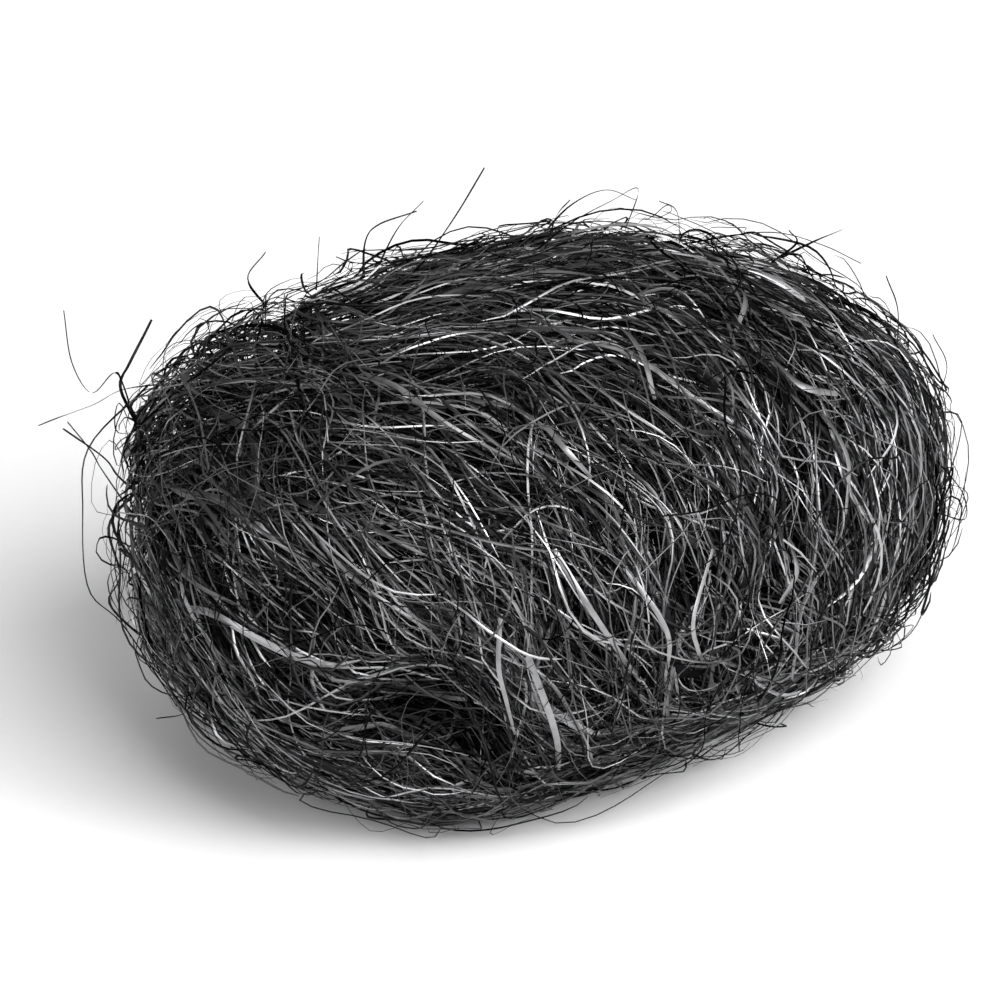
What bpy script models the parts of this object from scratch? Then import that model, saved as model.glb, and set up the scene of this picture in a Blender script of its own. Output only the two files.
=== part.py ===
"""Steel wool bundle: one loaf-shaped wad of matted coarse steel wool.

The long tangled strands of a steel wool web are folded and rolled into a single
springy wad, which is one piece and has no fasteners. It lies on its side. Its own
weight presses a flat spot into the underside.

Frame, in metres: +X along the wad, from the blunt rolled end to the rounded end,
+Y across it, away from the side that shows the rolled-in pocket, and +Z up. The origin
is on the resting face, under the middle of the wad's bounding box.
"""

from math import acos, cos, exp, radians, sin

import bmesh
import bpy
from mathutils import Vector

# Driving dimensions of the wad before its lobes and folds, in metres.
HALF_LENGTH = 0.0400
HALF_WIDTH = 0.0302
HALF_HEIGHT = 0.0216
REST_DEPTH = 0.0200  # from the wad's middle down to its pressed flat spot

# How boxy the loaf is: 2 is an ellipsoid, and more squares its shoulders.
SQUARENESS = 2.45
WIDTH_TAPER = -0.10  # the blunt end is wider than the rounded end
HEIGHT_TAPER = -0.05

# Broad swellings and hollows left by folding: the direction from the wad's middle as
# azimuth and elevation in degrees, the angular spread in degrees, and the rise in metres.
LOBES = (
    (200, 45, 30, 0.0008),  # upper shoulder of the blunt end
    (20, 60, 30, 0.0022),  # hump over the rounded half
    (0, 0, 30, -0.0006),  # the rounded end is pulled in a little
    (90, 50, 40, -0.0009),  # far top side, flattened
    (-100, 10, 22, 0.0007),  # belly of the near side
    (-140, -26, 16, 0.0012),  # rolled lip below the pocket
)

# Places where the web turns in on itself and leaves a hollow, in the same terms.
POCKETS = (
    (-138, -6, 11, -0.0042),  # pocket in the rolled end
    (-156, 10, 9, -0.0016),
    (150, -5, 12, -0.0018),
    (62, 4, 11, -0.0016),
)

# A fold line between two laps of web: it runs from the first direction to the second,
# over an angular half width in degrees, and sinks by a depth in metres.
FOLDS = (
    ((-64, 30), (-86, -10), 3.2, 0.0017),
    ((28, 34), (40, -12), 3.4, 0.0014),
    ((118, 38), (134, -4), 3.4, 0.0012),
)

# Unevenness of the matted surface: waves per radian along X, Y and Z, and their rise.
LUMPS = (
    ((5.0, 1.5, 3.0), 0.00035),
    ((-2.5, 6.0, 4.5), 0.00030),
    ((8.5, -5.0, 7.5), 0.00018),
)

SPHERE_SUBDIVISIONS = 5
STRAND_GREY = (0.080, 0.082, 0.086, 1.0)
STRAND_ROUGHNESS = 0.38


def direction_of(azimuth, elevation):
    """The unit vector at an azimuth and elevation in degrees."""
    turn, lift = radians(azimuth), radians(elevation)
    return Vector((cos(turn) * cos(lift), sin(turn) * cos(lift), sin(lift)))


def angle_between(first, second):
    return acos(max(-1.0, min(1.0, first.dot(second))))


def loaf_radius(ray):
    """Distance from the wad's middle to the plain loaf along a unit ray."""
    half_width = HALF_WIDTH * (1 + WIDTH_TAPER * ray.x)
    half_height = HALF_HEIGHT * (1 + HEIGHT_TAPER * ray.x)
    sides = (ray.x / HALF_LENGTH, ray.y / half_width, ray.z / half_height)
    return sum(abs(side) ** SQUARENESS for side in sides) ** (-1 / SQUARENESS)


def swelling(ray):
    """What the lobes and pockets add along a unit ray: each one is a smooth bell."""
    return sum(
        rise * exp(-((angle_between(ray, direction_of(azimuth, elevation)) / radians(spread)) ** 2))
        for azimuth, elevation, spread, rise in LOBES + POCKETS
    )


def fold_depth(ray):
    """How far the fold lines sink the surface along a unit ray."""
    depth = 0.0
    for start, end, half_width, sink in FOLDS:
        first, last = direction_of(*start), direction_of(*end)
        along = (last - first).normalized()
        reach = max(0.0, min((last - first).length, (ray - first).dot(along)))
        nearest = (first + along * reach).normalized()
        depth += sink * exp(-((angle_between(ray, nearest) / radians(half_width)) ** 2))
    return depth


def lumpiness(ray):
    return sum(
        rise * sin(waves[0] * ray.x + 1.0) * cos(waves[1] * ray.y) * cos(waves[2] * ray.z + 0.5)
        for waves, rise in LUMPS
    )


def wad_point(ray):
    """The wad's surface point along a unit ray, with the underside pressed flat."""
    point = ray * (loaf_radius(ray) + swelling(ray) - fold_depth(ray) + lumpiness(ray))
    return Vector((point.x, point.y, max(point.z, -REST_DEPTH)))


def join_flat_spot(mesh, level):
    """Makes one face of the pressed underside."""
    pressed = [
        face for face in mesh.faces if all(vertex.co.z <= level + 1e-7 for vertex in face.verts)
    ]
    bmesh.ops.dissolve_faces(mesh, faces=pressed)


def centre_on_rest(mesh):
    """Moves the wad so that the origin is on its flat spot, under its bounding box's middle."""
    corners = [vertex.co for vertex in mesh.verts]
    middle = [(min(c[i] for c in corners) + max(c[i] for c in corners)) / 2 for i in (0, 1)]
    lowest = min(c.z for c in corners)
    bmesh.ops.translate(mesh, verts=mesh.verts, vec=(-middle[0], -middle[1], -lowest))


def steel_material():
    """Dark, oily steel with a dull shine."""
    material = bpy.data.materials.new("dark_steel")
    material.use_nodes = True
    shader = material.node_tree.nodes["Principled BSDF"]
    shader.inputs["Base Color"].default_value = STRAND_GREY
    shader.inputs["Metallic"].default_value = 1.0
    shader.inputs["Roughness"].default_value = STRAND_ROUGHNESS
    return material


def build_wool_wad():
    """The whole bundle as one closed solid, at its true outer shape."""
    mesh = bmesh.new()
    bmesh.ops.create_icosphere(mesh, subdivisions=SPHERE_SUBDIVISIONS, radius=1.0)
    for vertex in mesh.verts:
        vertex.co = wad_point(vertex.co.normalized())
    join_flat_spot(mesh, -REST_DEPTH)
    centre_on_rest(mesh)
    data = bpy.data.meshes.new("wool_wad")
    mesh.to_mesh(data)
    mesh.free()
    data.shade_smooth()
    data.set_sharp_from_angle(angle=radians(40))
    data.materials.append(steel_material())
    wad = bpy.data.objects.new("wool_wad", data)
    bpy.context.scene.collection.objects.link(wad)
    return wad


def main():
    for leftover in list(bpy.data.objects):
        bpy.data.objects.remove(leftover, do_unlink=True)
    build_wool_wad()


main()
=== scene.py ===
"""Steel wool bundle: the finish of one wad of matted coarse steel wool.

The wad is built as the real one is made: a dark matted heart, and over it layer on layer
of long shaved strands that follow the way the web was rolled. Flat shavings lie among
them, thin strands stand off the surface as a fringe, and loose ends stick out.
"""

from math import cos, degrees, exp, radians, sin

import bmesh
import bpy
from bpy.props import FloatProperty, FloatVectorProperty, PointerProperty
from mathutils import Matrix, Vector
from mathutils.bvhtree import BVHTree


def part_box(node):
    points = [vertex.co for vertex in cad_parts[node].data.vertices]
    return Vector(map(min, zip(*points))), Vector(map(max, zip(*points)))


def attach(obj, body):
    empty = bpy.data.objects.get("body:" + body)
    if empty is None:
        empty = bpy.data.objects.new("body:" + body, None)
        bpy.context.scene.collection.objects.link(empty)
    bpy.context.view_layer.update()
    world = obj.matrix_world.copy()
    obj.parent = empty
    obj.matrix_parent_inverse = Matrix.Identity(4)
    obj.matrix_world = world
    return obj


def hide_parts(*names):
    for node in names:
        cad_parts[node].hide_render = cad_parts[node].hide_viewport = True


bl_info = {
    "name": "Steel wool bundle",
    "version": (1, 0, 0),
    "blender": (4, 5, 0),
    "location": "3D View > Sidebar > Steel wool",
    "description": "Builds a matted bundle of coarse steel wool, strand by strand",
    "category": "Object",
}

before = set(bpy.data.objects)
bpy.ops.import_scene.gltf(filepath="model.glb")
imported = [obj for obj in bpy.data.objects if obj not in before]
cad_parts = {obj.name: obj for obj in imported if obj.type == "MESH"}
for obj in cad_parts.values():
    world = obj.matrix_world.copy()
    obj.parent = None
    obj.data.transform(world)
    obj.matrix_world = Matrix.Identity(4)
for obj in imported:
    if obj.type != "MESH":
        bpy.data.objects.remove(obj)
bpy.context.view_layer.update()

WAD_NODE = "wool_wad"
BODY = "root"

SWIRL = 17  # degrees by which whole locks of strands turn from the web's lie together
SWIRL_SIZE = 0.010  # how wide such a lock is
SINK = 0.0038  # how far the strands drop where the web is thin
CHANGES_OF_HEADING = 1.9  # how often a strand swings from side to side over its length
STRAND_SEGMENTS = 12  # a strand is a chain of this many short straight lengths
LENGTH_SPREAD = (0.55, 1.45)  # the shortest and longest strand, against the layer's length
WIDTH_SPREAD = (0.55, 1.75)  # the finest and stoutest strand, against the layer's width
TWIST = 1.2  # radians by which a strand may turn about itself over its length
SHARP_EDGE = 30  # degrees above which an edge of a strand is kept crisp
WIDTH_TO_RADIUS = 0.577  # a triangle as wide as 1 reaches this far from its middle
HEART_LINES = ((0.5, 1500), (-0.7, 1900), (1.4, 1300))  # turn in radians, lines to a metre
POINTS_PER_STOP = 5  # how finely a strand laid through listed stops is rounded between its stops
FLOOR_GAP = 0.0003  # a strand laid through listed stops stays this far above the floor
SCALE_PATCHES = 700.0  # patches of scale to a metre of strand
SCORES = 5200.0  # fine scores to a metre of strand
MM = 0.001

# How the web lies on the wad. Each entry is a place, as azimuth and elevation seen from the
# wad's middle, and the direction that the strands take there, as azimuth and elevation in
# space, all in degrees. Between the places the lie turns smoothly.
LIE_OF_THE_WEB = (
    ((170, 20), (-94, 3)),  # rolled end, wound round level
    ((-168, 5), (-78, -20)),
    ((-152, 0), (-52, -26)),
    ((-142, -28), (-34, -5)),  # lip under the pocket
    ((-146, 32), (-72, -18)),  # shoulder over the rolled end
    ((-130, 48), (-66, -18)),
    ((-95, 48), (-66, -30)),
    ((-144, 72), (-26, -4)),  # top, nearly lengthways
    ((-10, 76), (-30, 0)),
    ((-113, 33), (-64, -40)),  # near side, falling to the right
    ((-111, 5), (-25, -60)),
    ((-86, 26), (-68, -56)),
    ((-80, 0), (20, -75)),
    ((-128, -8), (-18, -50)),
    ((-38, 38), (-60, -25)),  # rounded end, wound down over it
    ((-46, 18), (-100, -52)),
    ((-35, -5), (-160, -80)),
    ((10, 0), (0, -88)),
    ((-105, -36), (0, 5)),  # bottom edge of the near side, level
    ((-55, -34), (15, 12)),
    ((0, -80), (40, 0)),  # underside
    ((90, 35), (10, 25)),  # far side, rising to the right
    ((90, -5), (0, 42)),
    ((45, 10), (10, -70)),
    ((140, 8), (-120, 10)),
)
LIE_SPREAD = 20  # degrees over which one place's lie hands over to the next

# Where the web is loose, so fewer strands bridge over and the dark inside shows: a place,
# its angular spread in degrees, and the share of strands that is missing at its middle.
THIN_PLACES = (
    ((-138, -8), 10, 0.88),
    ((-157, 7), 8, 0.70),
    ((-72, 14), 6, 0.55),
    ((-78, 2), 6, 0.60),
    ((-126, 31), 7, 0.35),
    ((-96, 12), 6, 0.30),
    ((150, -5), 10, 0.60),
    ((62, 4), 9, 0.60),
    ((32, 22), 6, 0.50),
    ((124, 20), 6, 0.50),
)

# What each number of a layer is. Lengths are in metres and angles in degrees.
LAYER_WORDS = (
    *("count", "length", "width", "flatness", "lowest", "highest", "scatter"),
    *("wander", "bend", "weave", "dive", "turnover", "seed"),
)
LAYERS = {
    # count, length, width, flatness, lowest, highest, scatter, wander, bend, weave, dive, turnover, seed
    "wool_inner_mat": (2500, 0.034, 0.00036, 0.5, -0.0072, -0.0046, 34, 30, 50, 0.0008, 0, 180, 11),
    "wool_under_layer": (2600, 0.027, 0.00025, 0.42, -0.0048, -0.0022, 26, 28, 60, 0.0008, 0, 180, 23),
    "wool_wrap_layer": (2600, 0.022, 0.00023, 0.4, -0.0026, -0.0009, 20, 25, 45, 0.0010, 0.0005, 120, 37),
    "wool_top_layer": (2600, 0.020, 0.00020, 0.4, -0.0015, -0.0001, 20, 26, 50, 0.0011, 0.0010, 100, 41),
    "wool_fringe": (1700, 0.017, 0.00015, 0.5, -0.0010, 0.0012, 50, 45, 100, 0.0013, 0.0004, 180, 59),
    "wool_flat_shavings": (260, 0.017, 0.0005, 0.16, -0.0012, -0.0001, 16, 20, 40, 0.0005, 0.0012, 30, 67),
}

# Layers drawn in the shaded steel, whose darker colours are painted shade: the deep layers and the fringe.
SHADE_PAINTED_LAYERS = ("wool_inner_mat", "wool_under_layer", "wool_fringe")

# Loose ends that stand off the wad, each a line of points from its root outwards: azimuth
# and elevation in degrees from the wad's middle, and the height over its surface in mm.
LOOSE_ENDS = (
    (0.14, ((146, 8, -1), (142, 13, 2.3), (142, 14, 3.5), (143, 11, 4.5), (142, 14, 7.5), (140, 19, 11))),
    (0.30, ((145, 8, -1), (142, 12, 2.2), (140, 15, 2.8), (137, 21, 4.2))),
    (0.10, ((141, 14, -1), (142, 12, 2.0), (144, 10, 3.8), (145, 8, 6.5), (146, 7, 8.2))),
    (0.24, ((150, 0, -1.5), (148, 2, 0.5), (147, 4, 1.8), (146, 7, 5.9))),
    (0.16, ((151, -3, -1), (150, -1, 0), (148, 3, 2.0), (147, 5, 3.1), (146, 8, 5.6))),
    (0.13, ((143, 14, 0), (146, 5, 3.4), (150, -2, 3.9), (154, -11, 4), (157, -16, 1.6), (164, -27, 2.4))),
    (0.22, ((149, 0, -1), (151, -4, 1.6), (154, -10, 0.8), (156, -13, 2.1), (159, -20, 0), (163, -25, -0.8))),
    (0.12, ((163, -26, -1), (165, -28, 2.2), (164, -27, 4.6))),
    (0.12, ((168, -33, -1), (170, -36, 3.0), (171, -38, 6.2))),
    (0.18, ((113, 48, -2), (104, 53, 0.5), (93, 58, 4), (79, 61, 8.2))),
    (0.16, ((119, 43, -1), (116, 47, 2.6), (112, 50, 4.2), (103, 55, 5.1))),
    (0.12, ((127, 37, -1), (123, 40, 2), (122, 43, 4.3))),
    (0.12, ((57, 62, -1), (51, 63, 2.6), (46, 62, 3.9))),
    (0.10, ((60, 60, -0.5), (44, 62, 1.8), (30, 60, 3.6), (23, 58, 4.8), (24, 57, 0.5))),
    (0.10, ((8, 50, -0.5), (12, 53, 3), (16, 56, 3.9))),
    (0.11, ((10, 49, -0.5), (-3, 42, 3.2), (-9, 36, 4.4), (-13, 31, 4.8))),
    (0.13, ((-20, 18, -0.5), (-18, 24, 3.2), (-15, 28, 5.1))),
    (0.10, ((-26, 10, -0.5), (-23, 15, 2.8), (-20, 19, 3.6))),
    (0.10, ((-29, 4, -0.5), (-31, 0, 2.0), (-33, -3, 2.7), (-30, -4, 0))),
    (0.12, ((-33, -5, -0.5), (-38, -13, 1.6), (-42, -20, 2), (-47, -29, -0.9))),
    (0.16, ((-160, -40, -1), (-158, -46, 1.4), (-150, -50, 2.6), (-146, -46, 1.6))),
    (0.12, ((-140, -40, -1), (-134, -44, 1.6), (-126, -46, 1.8), (-119, -42, -0.5))),
    (0.12, ((-84, -40, -1), (-74, -42, 1.8), (-63, -36, 0.6))),
    # the far side
    (0.13, ((96, 20, -1), (92, 24, 2), (88, 30, 4.5), (82, 33, 6.5))),
    (0.22, ((70, 8, -1), (66, 5, 2), (64, 1, 3.4), (65, -4, 4.6))),
    (0.12, ((112, -4, -1), (117, -7, 2.4), (124, -6, 3.4), (130, -2, 1.2))),
    (0.11, ((60, 34, -1), (52, 37, 2.4), (45, 36, 4), (40, 31, 3.4))),
    (0.15, ((28, 8, -1), (24, 12, 2.6), (19, 15, 5.4), (16, 16, 7.8))),
    (0.12, ((14, -14, -1), (10, -18, 2.2), (4, -20, 3), (-2, -17, 0.8))),
    (0.13, ((128, 28, -1), (131, 32, 2.6), (129, 37, 4.6))),
    (0.10, ((84, -20, -1), (80, -25, 2.4), (73, -27, 3), (68, -24, 0.6))),
    (0.12, ((6, 30, -1), (1, 33, 2.4), (-2, 38, 3.8))),
)

# Broad flat shavings, listed one by one, in the same terms.
BROAD_SHAVINGS = (
    (0.85, ((-20, 51, -0.8), (-25, 47, 0.3), (-28, 40, 0.4), (-27, 33, -0.6))),
    (0.80, ((-42, 44, -0.8), (-49, 38, 0.3), (-51, 31, 0.4), (-43, 25, -0.8))),
    (0.75, ((-49, 31, -0.6), (-53, 24, 0.4), (-55, 17, 0.5), (-57, 8, -0.8))),
    (0.60, ((-66, 68, -0.6), (-76, 60, 0.4), (-82, 52, 0.4), (-87, 43, -0.6))),
    (0.60, ((-14, 49, -0.6), (-27, 46, 0.5), (-42, 45, -0.6))),
    (0.50, ((-120, 39, -0.6), (-116, 34, 0.4), (-111, 29, -0.6))),
    (0.42, ((-127, 9, -0.8), (-127, 2, 0.8), (-126, -4, 1.0), (-125, -12, -0.6))),
    (0.42, ((-89, 13, -0.8), (-96, 4, 0.6), (-95, -2, 0.4), (-92, -7, -0.8))),
    (0.45, ((-107, 14, -0.8), (-101, 3, 0.5), (-100, -8, -0.8))),
    (0.50, ((-119, 18, -0.8), (-113, 8, 0.5), (-105, -6, -0.6))),
    (0.70, ((-70, 9, -0.8), (-72, 4, 0.4), (-74, -2, -0.8))),
    (0.60, ((-123, 2, -0.8), (-119, -10, 0.6), (-118, -22, -0.8))),
    # the far side
    (0.75, ((104, 40, -0.8), (94, 34, 0.4), (84, 25, 0.4), (77, 16, -0.8))),
    (0.60, ((66, -6, -0.8), (58, 6, 0.5), (53, 18, -0.8))),
    (0.80, ((24, 16, -0.8), (20, 6, 0.4), (17, -5, 0.4), (16, -14, -0.8))),
    (0.55, ((136, 24, -0.8), (128, 16, 0.5), (118, 12, -0.8))),
)


LOOSE_END_STOUTNESS = 1.9  # loose ends stand alone, so they are drawn this much wider

# The soft lights: name, azimuth and elevation in degrees, distance and size in metres, and
# the share of the key light's power.
LIGHTS = (
    ("key_light", 8, 48, 0.9, 0.70, 1.0),
    ("side_light", 46, 28, 0.9, 0.60, 0.58),
    ("left_light", -84, 30, 0.8, 0.26, 0.20),
    ("back_light", 165, 60, 1.0, 0.80, 0.14),
)
FLOOR_HALF_SIZE = 3.0
LEFT_OF_MIDDLE = 0.0036  # what the camera looks at, against the wad's middle
BELOW_MIDDLE = 0.0008


# ---------------------------------------------------------------- the guide surface


def direction_of(azimuth, elevation):
    """The unit vector at an azimuth and elevation in degrees."""
    turn, lift = radians(azimuth), radians(elevation)
    return Vector((cos(turn) * cos(lift), sin(turn) * cos(lift), sin(lift)))


def bell(ray, place, spread):
    """1 where ray points at place, falling smoothly to 0 over spread degrees."""
    away = degrees(ray.angle(direction_of(*place)))
    return exp(-((away / spread) ** 2))


def wad_middle():
    """The middle of the wad's bounding box."""
    low, high = (Vector(corner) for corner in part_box(WAD_NODE))
    return (low + high) / 2


def lie_at(ray, normal):
    """The direction of the web's strands where ray meets the surface."""
    lie = Vector((0, 0, 0))
    for place, heading in LIE_OF_THE_WEB:
        lie += direction_of(*heading) * bell(ray, place, LIE_SPREAD)
    lie -= normal * lie.dot(normal)
    return lie.normalized()


def fullness_at(ray):
    """The share of the strands that lie where ray meets the surface."""
    share = 1.0
    for place, spread, missing in THIN_PLACES:
        share *= 1 - missing * bell(ray, place, spread)
    return share


def wad_copy(name):
    """The wad's own surface as a new, closed mesh."""
    mesh = bpy.data.meshes.new(name)
    shape = bmesh.new()
    shape.from_mesh(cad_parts[WAD_NODE].data)
    bmesh.ops.remove_doubles(shape, verts=shape.verts, dist=1e-6)
    shape.to_mesh(mesh)
    shape.free()
    mesh.materials.clear()
    for polygon in mesh.polygons:
        polygon.use_smooth = True
    return mesh


def guide_surface():
    """The wad's surface, with the lie and the fullness of the web at each of its points."""
    mesh = wad_copy("web_guide")
    middle = wad_middle()
    mesh.attributes.new("web_lie", "FLOAT_VECTOR", "POINT")
    mesh.attributes.new("web_fullness", "FLOAT", "POINT")
    lie, fullness = mesh.attributes["web_lie"], mesh.attributes["web_fullness"]
    for vertex in mesh.vertices:
        ray = (vertex.co - middle).normalized()
        lie.data[vertex.index].vector = lie_at(ray, vertex.normal)
        fullness.data[vertex.index].value = fullness_at(ray)
    return mesh


def web_guide():
    """The guide surface, made on its first use."""
    return bpy.data.meshes.get("web_guide") or guide_surface()


# ---------------------------------------------------------------- node helpers


def add(tree, kind, inputs=None, **settings):
    """Adds a node, sets its properties, and links or sets its inputs by name or number."""
    made = tree.nodes.new(kind)
    for name, value in settings.items():
        setattr(made, name, value)
    for key, value in (inputs or {}).items():
        if isinstance(value, bpy.types.NodeSocket):
            tree.links.new(value, made.inputs[key])
        else:
            made.inputs[key].default_value = value
    return made


def calc(tree, operation, *values):
    """A Math node's result."""
    made = add(tree, "ShaderNodeMath", dict(enumerate(values)), operation=operation)
    return made.outputs[0]


def blend_between(tree, low, high, share):
    """low where share is 0 and high where it is 1."""
    span = calc(tree, "SUBTRACT", high, low)
    return calc(tree, "MULTIPLY_ADD", span, share, low)


def vector_calc(tree, operation, *values):
    """A Vector Math node's result: a number for a dot product, and a vector for the rest."""
    made = add(tree, "ShaderNodeVectorMath", dict(enumerate(values)), operation=operation)
    return made.outputs["Value" if operation == "DOT_PRODUCT" else "Vector"]


def scaled(tree, vector, factor):
    """A vector times a number."""
    made = add(tree, "ShaderNodeVectorMath", {0: vector, "Scale": factor}, operation="SCALE")
    return made.outputs["Vector"]


def random_number(tree, low, high, strand, seed, salt):
    """A number between low and high that is a strand's own, and differs for each salt."""
    mixed = calc(tree, "ADD", seed, float(salt))
    made = add(tree, "FunctionNodeRandomValue", data_type="FLOAT")
    values = {"Min": low, "Max": high, "ID": strand, "Seed": mixed}
    for socket in made.inputs:
        if socket.enabled and socket.name in values:
            value = values[socket.name]
            if isinstance(value, bpy.types.NodeSocket):
                tree.links.new(value, socket)
            else:
                socket.default_value = value
    return next(socket for socket in made.outputs if socket.enabled)


def evened(tree, noise):
    """Noise, which keeps near 0.5, as a number that mostly lies between -1 and 1."""
    return calc(tree, "MULTIPLY_ADD", noise, 4.0, -2.0)


def stored(tree, name, data_type="FLOAT"):
    """The value that the geometry holds under a name."""
    made = add(tree, "GeometryNodeInputNamedAttribute", {"Name": name}, data_type=data_type)
    return made.outputs["Attribute"]


def nearest(tree, surface, value, position, data_type="FLOAT_VECTOR"):
    """What value is at the point of the surface nearest to position."""
    made = add(
        tree,
        "GeometryNodeSampleNearestSurface",
        {"Mesh": surface, "Value": value, "Sample Position": position},
        data_type=data_type,
    )
    return made.outputs["Value"]


def new_tree(name, inputs):
    """A geometry node tree with a geometry in and out, and the named inputs."""
    tree = bpy.data.node_groups.new(name, "GeometryNodeTree")
    face = tree.interface
    face.new_socket("Geometry", in_out="INPUT", socket_type="NodeSocketGeometry")
    face.new_socket("Geometry", in_out="OUTPUT", socket_type="NodeSocketGeometry")
    for socket_name, kind, value in inputs:
        socket = face.new_socket(socket_name, in_out="INPUT", socket_type=kind)
        if value is not None:
            socket.default_value = value
    return tree, tree.nodes.new("NodeGroupInput").outputs, tree.nodes.new("NodeGroupOutput").inputs


# ---------------------------------------------------------------- the strand trees


def strand_skin_tree():
    """Gives curves the body of a shaved strand: a flat triangle with sharp edges."""
    tree, given, result = new_tree("strand_skin", (("Flatness", "NodeSocketFloat", 0.4),))
    section = add(tree, "GeometryNodeCurvePrimitiveCircle", {"Resolution": 3, "Radius": 1.0})
    squashed = add(tree, "ShaderNodeCombineXYZ", {"X": given["Flatness"], "Y": 1.0, "Z": 1.0})
    profile = add(
        tree,
        "GeometryNodeTransform",
        {"Geometry": section.outputs["Curve"], "Scale": squashed.outputs[0]},
    )
    skin = add(
        tree,
        "GeometryNodeCurveToMesh",
        {
            "Curve": given["Geometry"],
            "Scale": add(tree, "GeometryNodeInputRadius").outputs[0],
            "Profile Curve": profile.outputs["Geometry"],
            "Fill Caps": True,
        },
    )
    edge = add(tree, "GeometryNodeInputMeshEdgeAngle")
    crisp = calc(tree, "GREATER_THAN", edge.outputs["Unsigned Angle"], radians(SHARP_EDGE))
    rounded = add(
        tree,
        "GeometryNodeSetShadeSmooth",
        {"Geometry": skin.outputs["Mesh"], "Selection": crisp, "Shade Smooth": False},
        domain="EDGE",
    )
    tree.links.new(rounded.outputs["Geometry"], result["Geometry"])
    return tree


def dress_and_end(tree, given, skin, curves, result):
    """Ends a tree: the curves get their bodies, are made real and get their material."""
    body = add(tree, "GeometryNodeGroup", node_tree=skin)
    tree.links.new(curves, body.inputs["Geometry"])
    tree.links.new(given["Flatness"], body.inputs["Flatness"])
    real = add(tree, "GeometryNodeRealizeInstances", {"Geometry": body.outputs["Geometry"]})
    coloured = add(
        tree,
        "GeometryNodeSetMaterial",
        {"Geometry": real.outputs["Geometry"], "Material": given["Material"]},
    )
    tree.links.new(coloured.outputs["Geometry"], result["Geometry"])


LAYER_INPUTS = (
    ("Strand Count", "NodeSocketInt", 1000),
    ("Segments", "NodeSocketInt", STRAND_SEGMENTS),
    ("Length", "NodeSocketFloat", 0.02),
    ("Width", "NodeSocketFloat", 0.0002),
    ("Flatness", "NodeSocketFloat", 0.4),
    ("Lowest", "NodeSocketFloat", -0.002),
    ("Highest", "NodeSocketFloat", 0.0),
    ("Scatter", "NodeSocketFloat", 0.3),
    ("Wander", "NodeSocketFloat", 0.5),
    ("Bend", "NodeSocketFloat", 0.5),
    ("Weave", "NodeSocketFloat", 0.001),
    ("Dive", "NodeSocketFloat", 0.001),
    ("Turnover", "NodeSocketFloat", 3.14),
    ("Swirl", "NodeSocketFloat", 0.4),
    ("Swirl Size", "NodeSocketFloat", 0.01),
    ("Sink", "NodeSocketFloat", 0.003),
    ("Rest Height", "NodeSocketFloat", 0.0),
    ("Seed", "NodeSocketInt", 0),
    ("Material", "NodeSocketMaterial", None),
)


def sown_strands(tree, given):
    """A bunched-up curve at each of many places on the surface, numbered by strand."""
    area = add(tree, "GeometryNodeInputMeshFaceArea").outputs[0]
    fullness = stored(tree, "web_fullness")
    weighed = add(
        tree,
        "GeometryNodeAttributeStatistic",
        {"Geometry": given["Geometry"], "Attribute": calc(tree, "MULTIPLY", area, fullness)},
        data_type="FLOAT",
        domain="FACE",
    )
    density = calc(tree, "DIVIDE", given["Strand Count"], weighed.outputs["Sum"])
    places = add(
        tree,
        "GeometryNodeDistributePointsOnFaces",
        {
            "Mesh": given["Geometry"],
            "Density": calc(tree, "MULTIPLY", density, fullness),
            "Seed": given["Seed"],
        },
        distribute_method="RANDOM",
    )
    numbered = add(
        tree,
        "GeometryNodeStoreNamedAttribute",
        {
            "Geometry": places.outputs["Points"],
            "Name": "strand",
            "Value": add(tree, "GeometryNodeInputIndex").outputs[0],
        },
        data_type="INT",
        domain="POINT",
    )
    line = add(tree, "GeometryNodeCurvePrimitiveLine", {"End": (0.0, 0.0, 1e-6)})
    points = calc(tree, "ADD", given["Segments"], 1)
    chain = add(
        tree,
        "GeometryNodeResampleCurve",
        {"Curve": line.outputs["Curve"], "Count": points},
    )
    planted = add(
        tree,
        "GeometryNodeInstanceOnPoints",
        {"Points": numbered.outputs["Geometry"], "Instance": chain.outputs["Curve"]},
    )
    real = add(tree, "GeometryNodeRealizeInstances", {"Geometry": planted.outputs["Instances"]})
    return real.outputs["Geometry"]


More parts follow.
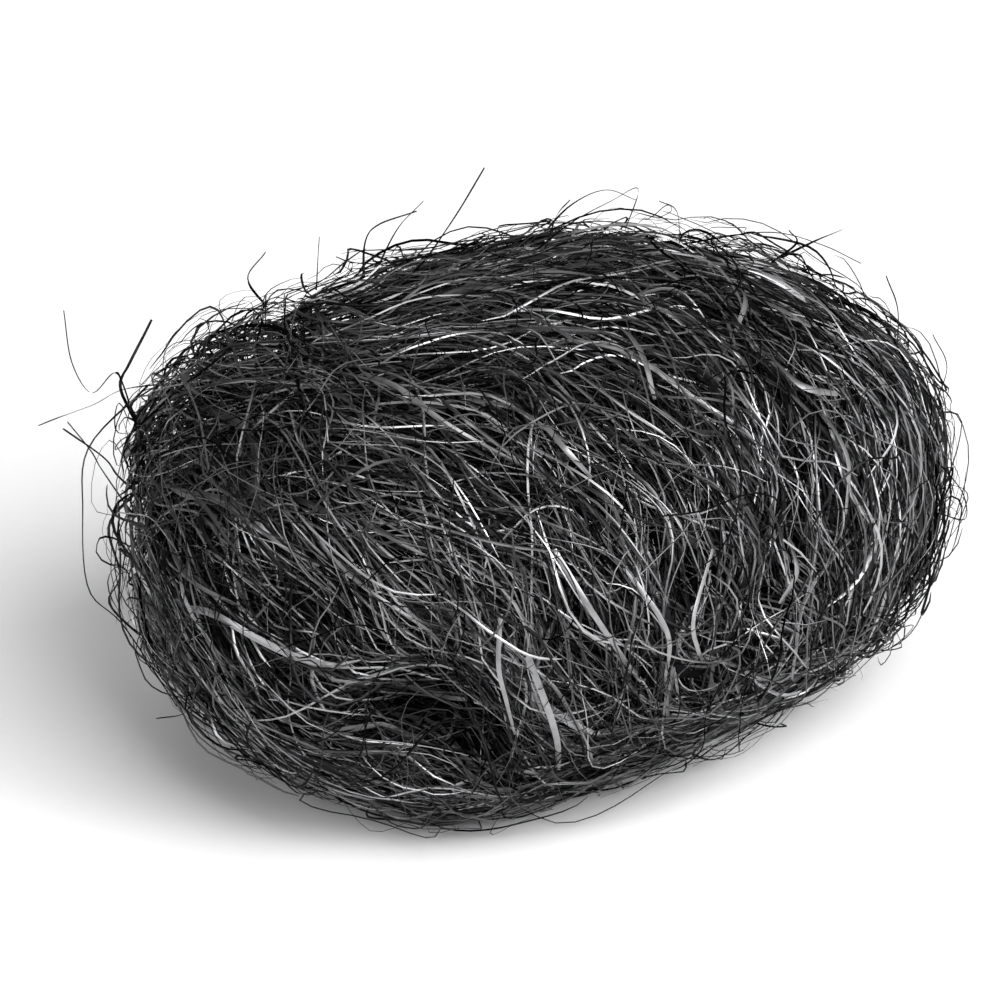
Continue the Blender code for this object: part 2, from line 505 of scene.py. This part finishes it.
def heading_and_height(tree, given, strand, share):
    """A strand's turn away from the web's lie, and its height, at a share of its length."""
    seed = given["Seed"]
    along = calc(tree, "MULTIPLY", share, CHANGES_OF_HEADING)
    spot = add(
        tree,
        "ShaderNodeCombineXYZ",
        {"X": calc(tree, "MULTIPLY", strand, 3.7), "Y": along, "Z": seed},
    )
    noise = add(
        tree,
        "ShaderNodeTexNoise",
        {"Vector": spot.outputs[0], "Scale": 1.0, "Detail": 0.0},
        noise_dimensions="3D",
    )
    parts = add(tree, "FunctionNodeSeparateColor", {"Color": noise.outputs["Color"]})
    swing = evened(tree, parts.outputs["Red"])
    lift = evened(tree, parts.outputs["Green"])

    lean = random_number(tree, -1.0, 1.0, strand, seed, 101)
    lean = calc(tree, "MULTIPLY", lean, calc(tree, "ABSOLUTE", lean))
    curve = random_number(tree, -1.0, 1.0, strand, seed, 102)
    centred = calc(tree, "SUBTRACT", share, 0.5)
    turn = calc(tree, "MULTIPLY", lean, calc(tree, "MULTIPLY", given["Scatter"], 2.0))
    turn = calc(tree, "MULTIPLY_ADD", swing, given["Wander"], turn)
    bent = calc(tree, "MULTIPLY", calc(tree, "MULTIPLY", curve, centred), given["Bend"])
    turn = calc(tree, "MULTIPLY_ADD", bent, 2.0, turn)

    layer = random_number(tree, given["Lowest"], given["Highest"], strand, seed, 103)
    height = calc(tree, "MULTIPLY_ADD", lift, given["Weave"], layer)
    ends = calc(tree, "POWER", calc(tree, "ABSOLUTE", calc(tree, "MULTIPLY", centred, 2.0)), 3.0)
    height = calc(tree, "SUBTRACT", height, calc(tree, "MULTIPLY", ends, given["Dive"]))
    return turn, height


def footing(tree, surface):
    """The point of the surface nearest to a strand's point, and the normal there."""
    here = add(tree, "GeometryNodeInputPosition").outputs[0]
    foot = nearest(tree, surface, add(tree, "GeometryNodeInputPosition").outputs[0], here)
    normal = nearest(tree, surface, add(tree, "GeometryNodeInputNormal").outputs[0], here)
    return here, foot, vector_calc(tree, "NORMALIZE", normal)


def sunk_height(tree, given, surface, here, height):
    """The height, less the drop where the web is thin."""
    fullness = nearest(tree, surface, stored(tree, "web_fullness"), here, "FLOAT")
    missing = calc(tree, "SUBTRACT", 1.0, fullness)
    return calc(tree, "SUBTRACT", height, calc(tree, "MULTIPLY", missing, given["Sink"]))


def lock_turn(tree, given, here):
    """The turn that neighbouring strands share, so that they lie in locks."""
    spot = scaled(tree, here, calc(tree, "DIVIDE", 1.0, given["Swirl Size"]))
    noise = add(
        tree,
        "ShaderNodeTexNoise",
        {"Vector": spot, "Scale": 1.0, "Detail": 0.0},
        noise_dimensions="3D",
    )
    return calc(tree, "MULTIPLY", evened(tree, noise.outputs[0]), given["Swirl"])


def walked_point(tree, given, surface, strand, share):
    """Where a strand's next point lies: one step along the web's lie, at its own height."""
    here, foot, normal = footing(tree, surface)
    lie = nearest(tree, surface, stored(tree, "web_lie", "FLOAT_VECTOR"), here)
    turn, height = heading_and_height(tree, given, strand, share)
    turn = calc(tree, "ADD", turn, lock_turn(tree, given, here))
    height = sunk_height(tree, given, surface, here, height)
    turned = add(
        tree,
        "ShaderNodeVectorRotate",
        {"Vector": lie, "Axis": normal, "Angle": turn},
        rotation_type="AXIS_ANGLE",
    ).outputs[0]
    sunk = scaled(tree, normal, vector_calc(tree, "DOT_PRODUCT", turned, normal))
    flat = vector_calc(tree, "NORMALIZE", vector_calc(tree, "SUBTRACT", turned, sunk))
    longer = random_number(tree, *LENGTH_SPREAD, strand, given["Seed"], 104)
    step = calc(tree, "DIVIDE", calc(tree, "MULTIPLY", given["Length"], longer), given["Segments"])
    moved = vector_calc(tree, "ADD", foot, scaled(tree, flat, step))
    return lifted(tree, given, moved, normal, height)


def lifted(tree, given, foot, normal, height):
    """foot raised along the normal by a height, but never below what the wad rests on."""
    moved = vector_calc(tree, "ADD", foot, scaled(tree, normal, height))
    parts = add(tree, "ShaderNodeSeparateXYZ", {0: moved})
    clear = calc(tree, "MAXIMUM", parts.outputs["Z"], given["Rest Height"])
    return add(
        tree,
        "ShaderNodeCombineXYZ",
        {"X": parts.outputs["X"], "Y": parts.outputs["Y"], "Z": clear},
    ).outputs[0]


def rooted_strands(tree, given, surface, strands):
    """The strands with their roots at their own heights."""
    here, foot, normal = footing(tree, surface)
    strand = stored(tree, "strand", "INT")
    height = heading_and_height(tree, given, strand, 0.0)[1]
    height = sunk_height(tree, given, surface, here, height)
    place = lifted(tree, given, foot, normal, height)
    moved = add(tree, "GeometryNodeSetPosition", {"Geometry": strands, "Position": place})
    return moved.outputs["Geometry"]


def walked_strands(tree, given, surface, strands):
    """Each strand's points walk out one after another from its root, over the surface."""
    enter = tree.nodes.new("GeometryNodeRepeatInput")
    leave = tree.nodes.new("GeometryNodeRepeatOutput")
    enter.pair_with_output(leave)
    tree.links.new(given["Segments"], enter.inputs["Iterations"])
    tree.links.new(strands, enter.inputs["Geometry"])
    step = enter.outputs["Iteration"]
    share = calc(tree, "DIVIDE", step, given["Segments"])
    order = add(tree, "GeometryNodeSplineParameter").outputs["Index"]
    still_walking = calc(tree, "GREATER_THAN", order, step)
    place = walked_point(tree, given, surface, stored(tree, "strand", "INT"), share)
    moved = add(
        tree,
        "GeometryNodeSetPosition",
        {"Geometry": enter.outputs["Geometry"], "Selection": still_walking, "Position": place},
    )
    tree.links.new(moved.outputs["Geometry"], leave.inputs["Geometry"])
    return leave.outputs["Geometry"]


def strand_layer_tree(skin):
    """A layer of strands that are sown on a surface and walk over it along the web's lie."""
    tree, given, result = new_tree("strand_layer", LAYER_INPUTS)
    surface, seed = given["Geometry"], given["Seed"]
    rooted = rooted_strands(tree, given, surface, sown_strands(tree, given))
    walked = walked_strands(tree, given, surface, rooted)

    strand = stored(tree, "strand", "INT")
    along = add(tree, "GeometryNodeSplineParameter").outputs["Factor"]
    here = add(tree, "GeometryNodeInputPosition").outputs[0]
    outward = nearest(tree, surface, add(tree, "GeometryNodeInputNormal").outputs[0], here)
    facing = add(
        tree,
        "GeometryNodeSetCurveNormal",
        {"Curve": walked, "Normal": outward},
        mode="FREE",
    )
    reach = given["Turnover"]
    turned = random_number(tree, calc(tree, "MULTIPLY", reach, -1.0), reach, strand, seed, 105)
    twist = random_number(tree, -TWIST, TWIST, strand, seed, 106)
    tilted = add(
        tree,
        "GeometryNodeSetCurveTilt",
        {
            "Curve": facing.outputs["Curve"],
            "Tilt": calc(tree, "MULTIPLY_ADD", twist, along, turned),
        },
    )
    slim = random_number(tree, 0.0, 1.0, strand, seed, 107)
    stout = blend_between(tree, *WIDTH_SPREAD, calc(tree, "POWER", slim, 2.0))
    middle = calc(tree, "ABSOLUTE", calc(tree, "MULTIPLY_ADD", along, 2.0, -1.0))
    taper = calc(tree, "SUBTRACT", 1.0, calc(tree, "MULTIPLY", calc(tree, "POWER", middle, 6.0), 0.7))
    half = calc(tree, "MULTIPLY", calc(tree, "MULTIPLY", given["Width"], WIDTH_TO_RADIUS), stout)
    sized = add(
        tree,
        "GeometryNodeSetCurveRadius",
        {"Curve": tilted.outputs["Curve"], "Radius": calc(tree, "MULTIPLY", half, taper)},
    )
    toned = add(
        tree,
        "GeometryNodeStoreNamedAttribute",
        {
            "Geometry": sized.outputs["Curve"],
            "Name": "strand_tone",
            "Value": random_number(tree, 0.0, 1.0, strand, seed, 108),
        },
        data_type="FLOAT",
        domain="POINT",
    )
    dress_and_end(tree, given, skin, toned.outputs["Geometry"], result)
    return tree


def laid_strands_tree(skin):
    """Gives curves laid through listed stops a body whose broad side faces away from the wad's middle."""
    tree, given, result = new_tree(
        "laid_strands",
        (
            ("Middle", "NodeSocketVector", None),
            ("Flatness", "NodeSocketFloat", 0.4),
            ("Tone", "NodeSocketFloat", 0.5),
            ("Material", "NodeSocketMaterial", None),
        ),
    )
    here = add(tree, "GeometryNodeInputPosition").outputs[0]
    facing = add(
        tree,
        "GeometryNodeSetCurveNormal",
        {
            "Curve": given["Geometry"],
            "Normal": vector_calc(tree, "SUBTRACT", here, given["Middle"]),
        },
        mode="FREE",
    )
    toned = add(
        tree,
        "GeometryNodeStoreNamedAttribute",
        {
            "Geometry": facing.outputs["Curve"],
            "Name": "strand_tone",
            "Value": given["Tone"],
        },
        data_type="FLOAT",
        domain="POINT",
    )
    dress_and_end(tree, given, skin, toned.outputs["Geometry"], result)
    return tree


def run_tree(carrier, tree, values):
    """Runs a tree on an object with the named values, and returns the mesh it makes."""
    modifier = carrier.modifiers.new(tree.name, "NODES")
    modifier.node_group = tree
    for item in tree.interface.items_tree:
        if item.item_type == "SOCKET" and item.in_out == "INPUT" and item.name in values:
            modifier[item.identifier] = values[item.name]
    view = bpy.context.view_layer
    view.update()
    ready = carrier.evaluated_get(view.depsgraph)
    mesh = bpy.data.meshes.new_from_object(
        ready, preserve_all_data_layers=True, depsgraph=view.depsgraph
    )
    carrier.modifiers.remove(modifier)
    if len(mesh.polygons) == 0:
        raise RuntimeError(f"the tree {tree.name} made nothing")
    return mesh


def tree_named(name, build, *needs):
    """The node tree of that name, built on its first use."""
    return bpy.data.node_groups.get(name) or build(*needs)


# ---------------------------------------------------------------- pieces


def place_piece(name, mesh):
    """Links a finished mesh as a piece that rides on the wad's body."""
    mesh.name = name
    piece = bpy.data.objects.new(name, mesh)
    bpy.context.scene.collection.objects.link(piece)
    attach(piece, BODY)
    return piece


def make_layer(name, amount, thickness, material):
    """One layer of strands from its entry in LAYERS."""
    layer = dict(zip(LAYER_WORDS, LAYERS[name]))
    skin = tree_named("strand_skin", strand_skin_tree)
    tree = tree_named("strand_layer", strand_layer_tree, skin)
    carrier = bpy.data.objects.new("layer_carrier", web_guide())
    bpy.context.scene.collection.objects.link(carrier)
    mesh = run_tree(
        carrier,
        tree,
        {
            "Strand Count": round(layer["count"] * amount),
            "Segments": STRAND_SEGMENTS,
            "Length": layer["length"],
            "Width": layer["width"] * thickness,
            "Flatness": layer["flatness"],
            "Lowest": layer["lowest"],
            "Highest": layer["highest"],
            "Scatter": radians(layer["scatter"]),
            "Wander": radians(layer["wander"]),
            "Bend": radians(layer["bend"]),
            "Weave": layer["weave"],
            "Dive": layer["dive"],
            "Turnover": radians(layer["turnover"]),
            "Swirl": radians(SWIRL),
            "Swirl Size": SWIRL_SIZE,
            "Sink": SINK,
            "Rest Height": layer["width"],
            "Seed": layer["seed"],
            "Material": material,
        },
    )
    bpy.data.objects.remove(carrier)
    place_piece(name, mesh)


def make_core(depth):
    """The matted heart of the wad: its own shape, drawn in by a depth."""
    mesh = wad_copy("wool_core")
    middle = wad_middle()
    inward = [vertex.normal.copy() for vertex in mesh.vertices]
    for vertex, normal in zip(mesh.vertices, inward):
        missing = 1 - fullness_at((vertex.co - middle).normalized())
        vertex.co -= normal * (depth + missing * SINK)
    piece = place_piece("wool_core", mesh)
    mesh.materials.append(matted_heart())
    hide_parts(WAD_NODE)


def smooth_line(points, count):
    """Points evenly spaced by parameter on a smooth curve through the given ones."""
    ends = [points[0] * 2 - points[1], *points, points[-1] * 2 - points[-2]]
    line = []
    for number in range(count):
        reach = number / (count - 1) * (len(points) - 1)
        part = min(int(reach), len(points) - 2)
        share = reach - part
        a, b, c, d = ends[part : part + 4]
        line.append(
            (
                b * 2
                + (c - a) * share
                + (a * 2 - b * 5 + c * 4 - d) * share**2
                + (b * 3 - a - c * 3 + d) * share**3
            )
            / 2
        )
    return line


def surface_point(tree, middle, azimuth, elevation, height):
    """The point at a height over the wad's surface, straight out from its middle."""
    ray = direction_of(azimuth, elevation)
    hit = tree.ray_cast(middle + ray, -ray)[0]
    point = hit + ray * height
    point.z = max(point.z, FLOOR_GAP)
    return point


def drawn_curves(name, lines, thickness, turn):
    """A curve through each line's stops, with its width as radius and a turn along it."""
    guide = web_guide()
    surface = BVHTree.FromPolygons(
        [vertex.co for vertex in guide.vertices],
        [polygon.vertices for polygon in guide.polygons],
    )
    middle = wad_middle()
    curves = bpy.data.curves.new(name, "CURVE")
    curves.dimensions = "3D"
    for width, stops in lines:
        through = [surface_point(surface, middle, *place, rise * MM) for *place, rise in stops]
        line = smooth_line(through, POINTS_PER_STOP * len(through))
        spline = curves.splines.new("POLY")
        spline.points.add(len(line) - 1)
        for number, (point, spot) in enumerate(zip(spline.points, line)):
            share = number / (len(line) - 1)
            point.co = (*spot, 1.0)
            point.tilt = turn * (share - 0.5)
            point.radius = width * MM * thickness * WIDTH_TO_RADIUS * (1 - 0.5 * share**4)
    return curves


def make_laid_strands(name, lines, thickness, turn, flatness, tone, material):
    """A piece of strands that are each drawn through their own stops."""
    carrier = bpy.data.objects.new(name + "_carrier", drawn_curves(name, lines, thickness, turn))
    bpy.context.scene.collection.objects.link(carrier)
    skin = tree_named("strand_skin", strand_skin_tree)
    tree = tree_named("laid_strands", laid_strands_tree, skin)
    values = {"Middle": wad_middle(), "Flatness": flatness, "Tone": tone, "Material": material}
    mesh = run_tree(carrier, tree, values)
    bpy.data.objects.remove(carrier)
    place_piece(name, mesh)


# ---------------------------------------------------------------- materials


def shade_group(name, inputs, outputs):
    """An empty shader node group with the named sockets."""
    tree = bpy.data.node_groups.new(name, "ShaderNodeTree")
    for socket_name, kind, value in inputs:
        socket = tree.interface.new_socket(socket_name, in_out="INPUT", socket_type=kind)
        socket.default_value = value
    for socket_name, kind in outputs:
        tree.interface.new_socket(socket_name, in_out="OUTPUT", socket_type=kind)
    return tree, tree.nodes.new("NodeGroupInput").outputs, tree.nodes.new("NodeGroupOutput").inputs


def mixed_colour(tree, share, first, second):
    """The first colour where share is 0 and the second where it is 1."""
    made = add(tree, "ShaderNodeMix", data_type="RGBA")
    for socket, value in ((made.inputs[0], share), (made.inputs[6], first), (made.inputs[7], second)):
        if isinstance(value, bpy.types.NodeSocket):
            tree.links.new(value, socket)
        else:
            socket.default_value = value
    return made.outputs[2]


def steel_grain():
    """Cold-shaved steel: each strand has its own tone, broken up by scale and fine scoring."""
    tree, given, result = shade_group(
        "steel_grain",
        (
            ("Tone", "NodeSocketFloat", 0.5),
            ("Dark", "NodeSocketColor", (0.03, 0.03, 0.033, 1)),
            ("Bright", "NodeSocketColor", (0.3, 0.3, 0.31, 1)),
            ("Brightness Bias", "NodeSocketFloat", 2.0),
            ("Smooth", "NodeSocketFloat", 0.25),
            ("Rough", "NodeSocketFloat", 0.5),
        ),
        (
            ("Color", "NodeSocketColor"),
            ("Roughness", "NodeSocketFloat"),
            ("Height", "NodeSocketFloat"),
        ),
    )
    place = add(tree, "ShaderNodeTexCoord").outputs["Object"]
    scale = add(tree, "ShaderNodeTexNoise", {"Vector": place, "Scale": SCALE_PATCHES, "Detail": 3.0})
    scoring = add(tree, "ShaderNodeTexNoise", {"Vector": place, "Scale": SCORES, "Detail": 2.0})
    tone = calc(tree, "POWER", given["Tone"], given["Brightness Bias"])
    broken = calc(tree, "MULTIPLY_ADD", scale.outputs[0], 0.8, 0.6)
    share = calc(tree, "MULTIPLY", tone, broken)
    tree.links.new(mixed_colour(tree, share, given["Dark"], given["Bright"]), result["Color"])
    wear = calc(tree, "MULTIPLY_ADD", scale.outputs[0], 0.8, calc(tree, "MULTIPLY", scoring.outputs[0], 0.2))
    rough = blend_between(tree, given["Smooth"], given["Rough"], wear)
    tree.links.new(rough, result["Roughness"])
    tree.links.new(scoring.outputs[0], result["Height"])
    return tree


def steel_material(name, dark, bright, bias, smooth, rough):
    """Steel whose tone is each strand's own."""
    material = bpy.data.materials.new(name)
    material.use_nodes = True
    tree = material.node_tree
    shader = tree.nodes["Principled BSDF"]
    tone = add(tree, "ShaderNodeAttribute", attribute_name="strand_tone").outputs["Fac"]
    grain = add(tree, "ShaderNodeGroup", node_tree=tree_named("steel_grain", steel_grain))
    tree.links.new(tone, grain.inputs["Tone"])
    grain.inputs["Dark"].default_value = (*dark, 1)
    grain.inputs["Bright"].default_value = (*bright, 1)
    grain.inputs["Brightness Bias"].default_value = bias
    grain.inputs["Smooth"].default_value = smooth
    grain.inputs["Rough"].default_value = rough
    bump = add(
        tree,
        "ShaderNodeBump",
        {"Height": grain.outputs["Height"], "Distance": 4e-6, "Strength": 0.2},
    )
    tree.links.new(grain.outputs["Color"], shader.inputs["Base Color"])
    tree.links.new(grain.outputs["Roughness"], shader.inputs["Roughness"])
    tree.links.new(bump.outputs["Normal"], shader.inputs["Normal"])
    shader.inputs["Metallic"].default_value = 1.0
    shader.inputs["Specular Tint"].default_value = (0.5, 0.5, 0.5, 1)
    return material


def steel_named(name, sizes):
    """Shaved steel, or its shaded kind, made on its first use: a rougher copy whose darker colours are
    painted shade, for deep strands, the fringe and the loose ends.
    """
    dark, bright = sizes.dark_steel, sizes.bright_steel
    kinds = {
        "shaved_steel": (dark, bright, 1.6, 0.36, 0.48),
        # painted shade: the shaded steel is the shaved steel with its colours darkened
        "shaded_steel": ([part * 0.5 for part in dark], [part * 0.32 for part in bright], 2.2, 0.38, 0.54),
    }
    return bpy.data.materials.get(name) or steel_material(name, *kinds[name])


def matted_heart():
    """The dark inside: fine strands crossing every way, too deep for light to reach."""
    material = bpy.data.materials.new("matted_heart")
    material.use_nodes = True
    tree = material.node_tree
    shader = tree.nodes["Principled BSDF"]
    place = add(tree, "ShaderNodeTexCoord").outputs["Object"]
    strands = None
    for number, (turn, lines_per_metre) in enumerate(HEART_LINES):
        laid = add(
            tree,
            "ShaderNodeMapping",
            {
                "Vector": place,
                "Rotation": (0.6 * number, turn, turn * 1.3),
                "Scale": (lines_per_metre * 0.08, lines_per_metre, lines_per_metre),
            },
        )
        lines = add(tree, "ShaderNodeTexNoise", {"Vector": laid.outputs[0], "Scale": 1.0, "Detail": 2.0})
        ridge = calc(tree, "MULTIPLY_ADD", lines.outputs[0], 4.0, -1.9)
        strands = ridge if strands is None else calc(tree, "MAXIMUM", strands, ridge)
    strands = calc(tree, "MINIMUM", calc(tree, "MAXIMUM", strands, 0.0), 1.0)
    # The lines and bumps stand for the inner strands; their near-black colours are painted shade, as light
    # does not reach so deep.
    colour = mixed_colour(tree, strands, (0.002, 0.002, 0.002, 1), (0.035, 0.035, 0.038, 1))
    bump = add(tree, "ShaderNodeBump", {"Height": strands, "Distance": 3e-4, "Strength": 1.0})
    tree.links.new(colour, shader.inputs["Base Color"])
    tree.links.new(blend_between(tree, 0.95, 0.55, strands), shader.inputs["Roughness"])
    tree.links.new(bump.outputs["Normal"], shader.inputs["Normal"])
    shader.inputs["Specular IOR Level"].default_value = 0.2
    return material


# ---------------------------------------------------------------- the stage


def look_at(thing, target):
    """Turns a light or camera so that it faces the target."""
    thing.rotation_euler = (target - thing.location).to_track_quat("-Z", "Y").to_euler()


def add_softbox(name, azimuth, elevation, distance, size, power, target):
    """A square soft light that faces the target."""
    light = bpy.data.lights.new(name, "AREA")
    light.shape = "SQUARE"
    light.size = size
    light.energy = power
    lamp = bpy.data.objects.new(name, light)
    bpy.context.scene.collection.objects.link(lamp)
    lamp.location = target + outward_of(azimuth, elevation) * distance
    look_at(lamp, target)


def outward_of(azimuth, elevation):
    """The direction to a stand at an azimuth, where 0 is in front of the near side."""
    turn, lift = radians(azimuth), radians(elevation)
    return Vector((sin(turn) * cos(lift), -cos(turn) * cos(lift), sin(lift)))


def floor_material():
    """Pale paper with a faint fibre."""
    material = bpy.data.materials.new("pale_paper")
    material.use_nodes = True
    tree = material.node_tree
    shader = tree.nodes["Principled BSDF"]
    place = add(tree, "ShaderNodeTexCoord").outputs["Object"]
    fibre = add(tree, "ShaderNodeTexNoise", {"Vector": place, "Scale": 900.0, "Detail": 3.0})
    colour = mixed_colour(tree, fibre.outputs[0], (0.94, 0.94, 0.94, 1), (0.97, 0.97, 0.97, 1))
    tree.links.new(colour, shader.inputs["Base Color"])
    shader.inputs["Roughness"].default_value = 0.9
    shader.inputs["Specular IOR Level"].default_value = 0.0
    return material


def add_floor():
    """A wide flat sheet for the wad to lie on."""
    shape = bmesh.new()
    bmesh.ops.create_grid(shape, x_segments=1, y_segments=1, size=FLOOR_HALF_SIZE)
    mesh = bpy.data.meshes.new("floor")
    shape.to_mesh(mesh)
    shape.free()
    mesh.materials.append(floor_material())
    floor = bpy.data.objects.new("floor", mesh)
    bpy.context.scene.collection.objects.link(floor)


def add_sky(strength):
    """An even white light from all round."""
    world = bpy.data.worlds.new("studio")
    world.use_nodes = True
    background = world.node_tree.nodes["Background"]
    background.inputs["Color"].default_value = (1, 1, 1, 1)
    background.inputs["Strength"].default_value = strength
    bpy.context.scene.world = world


def add_camera(sizes, target):
    """The camera, which looks a little to the left of the target and below it."""
    lens = bpy.data.cameras.new("camera")
    lens.lens = sizes.lens
    lens.sensor_width = 36.0
    lens.clip_start = 0.01
    camera = bpy.data.objects.new("camera", lens)
    bpy.context.scene.collection.objects.link(camera)
    sideways = Vector((cos(sizes.azimuth), sin(sizes.azimuth), 0))
    framed = target - sideways * LEFT_OF_MIDDLE - Vector((0, 0, BELOW_MIDDLE))
    outward = outward_of(degrees(sizes.azimuth), degrees(sizes.elevation))
    camera.location = framed + outward * sizes.distance
    look_at(camera, framed)
    bpy.context.scene.camera = camera


# ---------------------------------------------------------------- the add-on


class WoolSizes(bpy.types.PropertyGroup):
    """The sizes and colours of the wool."""

    amount: FloatProperty(
        name="Strand amount",
        description="Share of the full number of strands",
        default=1.0,
        min=0.05,
        max=1.0,
        subtype="FACTOR",
    )
    thickness: FloatProperty(
        name="Strand thickness",
        description="Thickness against the coarse grade",
        default=1.0,
        min=0.3,
        max=3.0,
        subtype="FACTOR",
    )
    core_depth: FloatProperty(
        name="Heart depth",
        description="How far the matted heart lies under the surface",
        default=0.0070,
        unit="LENGTH",
    )
    dark_steel: FloatVectorProperty(
        name="Dark steel",
        description="Colour of the darkest strands",
        default=(0.008, 0.008, 0.009),
        subtype="COLOR",
    )
    bright_steel: FloatVectorProperty(
        name="Bright steel",
        description="Colour of the brightest strands",
        default=(0.50, 0.50, 0.51),
        subtype="COLOR",
    )


class StageSizes(bpy.types.PropertyGroup):
    """Where the camera stands and how strong the lights are."""

    azimuth: FloatProperty(
        name="Camera azimuth",
        description="Where the camera stands",
        default=radians(-31),
        subtype="ANGLE",
    )
    elevation: FloatProperty(
        name="Camera elevation",
        description="How high the camera looks from",
        default=radians(27),
        subtype="ANGLE",
    )
    distance: FloatProperty(
        name="Camera distance",
        description="From the wad's middle",
        default=0.48,
        unit="LENGTH",
    )
    lens: FloatProperty(
        name="Lens",
        description="Focal length in millimetres",
        default=186.5,
        unit="CAMERA",
    )
    key_power: FloatProperty(
        name="Key light",
        description="Power of the main soft light",
        default=8.8,
        unit="POWER",
    )
    sky: FloatProperty(
        name="Surrounding light",
        description="Strength of the even light all round",
        default=0.17,
        subtype="FACTOR",
    )


class WOOL_OT_core(bpy.types.Operator):
    """Build the dark matted heart"""

    bl_idname = "wool.core"
    bl_label = "Matted heart"

    def execute(self, context):
        make_core(context.scene.wool_sizes.core_depth)
        return {"FINISHED"}


class WOOL_OT_layers(bpy.types.Operator):
    """Build the layers of strands, from the inside out"""

    bl_idname = "wool.layers"
    bl_label = "Strand layers"

    def execute(self, context):
        sizes = context.scene.wool_sizes
        for name in LAYERS:
            steel = steel_named("shaded_steel" if name in SHADE_PAINTED_LAYERS else "shaved_steel", sizes)
            make_layer(name, sizes.amount, sizes.thickness, steel)
        return {"FINISHED"}


class WOOL_OT_loose_ends(bpy.types.Operator):
    """Build the strands that have sprung loose"""

    bl_idname = "wool.loose_ends"
    bl_label = "Loose ends"

    def execute(self, context):
        sizes = context.scene.wool_sizes
        make_laid_strands(
            "wool_loose_ends",
            LOOSE_ENDS,
            thickness=sizes.thickness * LOOSE_END_STOUTNESS,
            turn=radians(115),
            flatness=0.5,
            tone=0.4,
            # painted shade: the loose ends get the darker, shaded steel
            material=steel_named("shaded_steel", sizes),
        )
        return {"FINISHED"}


class WOOL_OT_broad_shavings(bpy.types.Operator):
    """Build the broadest flat shavings"""

    bl_idname = "wool.broad_shavings"
    bl_label = "Broad shavings"

    def execute(self, context):
        sizes = context.scene.wool_sizes
        make_laid_strands(
            "wool_broad_shavings",
            BROAD_SHAVINGS,
            thickness=sizes.thickness,
            turn=radians(30),
            flatness=0.12,
            tone=0.8,
            material=steel_named("shaved_steel", sizes),
        )
        return {"FINISHED"}


class WOOL_OT_stage(bpy.types.Operator):
    """Set up the floor, the lights and the camera"""

    bl_idname = "wool.stage"
    bl_label = "Stage"

    def execute(self, context):
        sizes, target = context.scene.wool_stage, wad_middle()
        add_floor()
        for name, azimuth, elevation, distance, size, share in LIGHTS:
            add_softbox(name, azimuth, elevation, distance, size, sizes.key_power * share, target)
        add_sky(sizes.sky)
        add_camera(sizes, target)
        context.scene.view_settings.view_transform = "Standard"
        return {"FINISHED"}


class WOOL_PT_panel(bpy.types.Panel):
    """The sizes and the steps, in the order in which they are run"""

    bl_idname = "WOOL_PT_panel"
    bl_label = "Steel wool"
    bl_space_type = "VIEW_3D"
    bl_region_type = "UI"
    bl_category = "Steel wool"

    def draw(self, context):
        scene = context.scene
        for group in (scene.wool_sizes, scene.wool_stage):
            for name in group.__annotations__:
                self.layout.prop(group, name)
        for operator in OPERATORS:
            self.layout.operator(operator.bl_idname)


OPERATORS = (
    WOOL_OT_core,
    WOOL_OT_layers,
    WOOL_OT_loose_ends,
    WOOL_OT_broad_shavings,
    WOOL_OT_stage,
)
CLASSES = (WoolSizes, StageSizes, *OPERATORS, WOOL_PT_panel)


def register():
    for kind in CLASSES:
        bpy.utils.register_class(kind)
    bpy.types.Scene.wool_sizes = PointerProperty(type=WoolSizes)
    bpy.types.Scene.wool_stage = PointerProperty(type=StageSizes)


def unregister():
    del bpy.types.Scene.wool_stage
    del bpy.types.Scene.wool_sizes
    for kind in reversed(CLASSES):
        bpy.utils.unregister_class(kind)


def main():
    register()
    bpy.ops.wool.core()
    bpy.ops.wool.layers()
    bpy.ops.wool.loose_ends()
    bpy.ops.wool.broad_shavings()
    bpy.ops.wool.stage()


if __name__ == "__main__":
    main()
